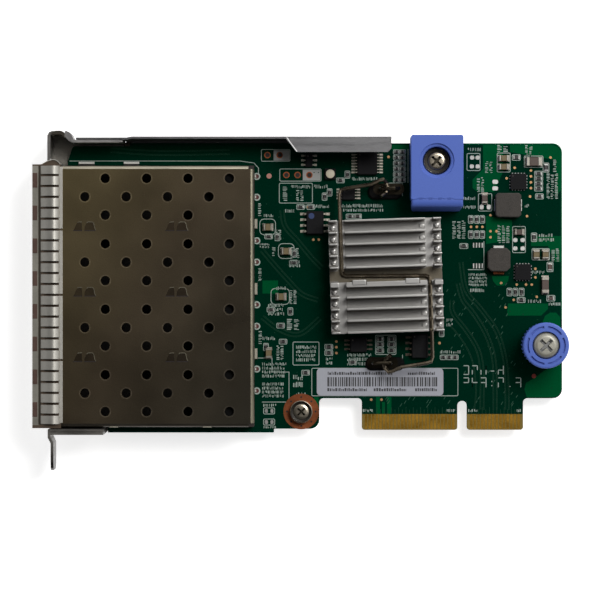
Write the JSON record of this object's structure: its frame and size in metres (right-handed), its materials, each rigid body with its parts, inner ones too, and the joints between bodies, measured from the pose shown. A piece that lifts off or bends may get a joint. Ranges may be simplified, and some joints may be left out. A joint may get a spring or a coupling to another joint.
{
  "type": "network adapter card",
  "caption": "Multi-port pluggable-module network adapter card with caged ports, bracket, finned heatsink, thumbscrew and card-edge contacts.",
  "frame": {"origin": "middle of the tip of the long card-edge tab, at half the board's thickness", "axes": "+X from the ports towards the thumbscrew edge, +Y from the contact edge into the board, +Z out of the component side"},
  "size_m": [0.1167, 0.0739, 0.0177],
  "materials": {
    "board_green": "solder mask, semi-gloss",
    "bracket_steel": "dark plated sheet steel, satin",
    "rail_steel": "plated sheet steel, satin",
    "cage_steel": "plated spring alloy, satin",
    "collar_steel": "bright spring fingers",
    "connector_black": "moulded, matt",
    "chip_black": "moulded epoxy, matt",
    "thermal_grey": "soft pad",
    "sink_aluminium": "extruded, satin",
    "clip_steel": "drawn wire",
    "touch_blue": "moulded, satin",
    "screw_steel": "plated steel",
    "ferrite_grey": "pressed ferrite, matt",
    "capacitor_tan": "fired ceramic, satin",
    "label_white": "matt paper"
  },
  "bodies": {
    "card": {"circuit_board": "board_green", "cage_cover": "cage_steel", "cage_floor": "cage_steel", "cage_divider_1": "cage_steel", "cage_divider_2": "cage_steel", "cage_divider_3": "cage_steel", "spring_collar": "collar_steel", "port_connector_1": "connector_black", "port_connector_2": "connector_black", "port_connector_3": "connector_black", "port_connector_4": "connector_black", "faceplate_bracket": "bracket_steel", "side_rail": "rail_steel", "network_controller": "chip_black", "thermal_pad": "thermal_grey", "heatsink": "sink_aluminium", "heatsink_clip": "clip_steel", "clip_anchor_upper": "clip_steel", "clip_anchor_lower": "clip_steel", "touch_point": "touch_blue", "touch_point_screw": "screw_steel", "touch_point_nut": "screw_steel", "pad_screw": "screw_steel", "pad_screw_spacer": "screw_steel", "thumbscrew_sleeve": "screw_steel", "thumbscrew_spring": "clip_steel", "memory_chip_upper": "chip_black", "memory_chip_lower": "chip_black", "buffer_chip": "chip_black", "expander_chip": "chip_black", "sensor_chip": "chip_black", "gate_chip": "chip_black", "power_converter_upper": "chip_black", "power_converter_lower": "chip_black", "power_inductor_upper": "ferrite_grey", "power_inductor_lower": "ferrite_grey", "status_switch": "chip_black", "label": "label_white", "capacitor_1": "capacitor_tan", "capacitor_2": "capacitor_tan", "capacitor_3": "capacitor_tan", "capacitor_4": "capacitor_tan", "capacitor_5": "capacitor_tan", "capacitor_6": "capacitor_tan", "capacitor_7": "capacitor_tan", "capacitor_8": "capacitor_tan"},
    "press_washer": {"thumbscrew_washer": "screw_steel"},
    "thumbscrew": {"thumbscrew_knob": "touch_blue", "thumbscrew_screw": "screw_steel"}
  },
  "joints": [
    {"name": "thumbscrew_press", "type": "slide", "parent": "card", "child": "press_washer", "axis": [0, 0, 1], "range_m": [-0.0016, 0], "stiffness_N_per_m": 300, "deforming": ["thumbscrew_spring"]},
    {"name": "thumbscrew_turn", "type": "hinge", "parent": "press_washer", "child": "thumbscrew", "pos_m": [0.0293, 0.0187, 0.013], "axis": [0, 0, 1], "continuous": true}
  ]
}
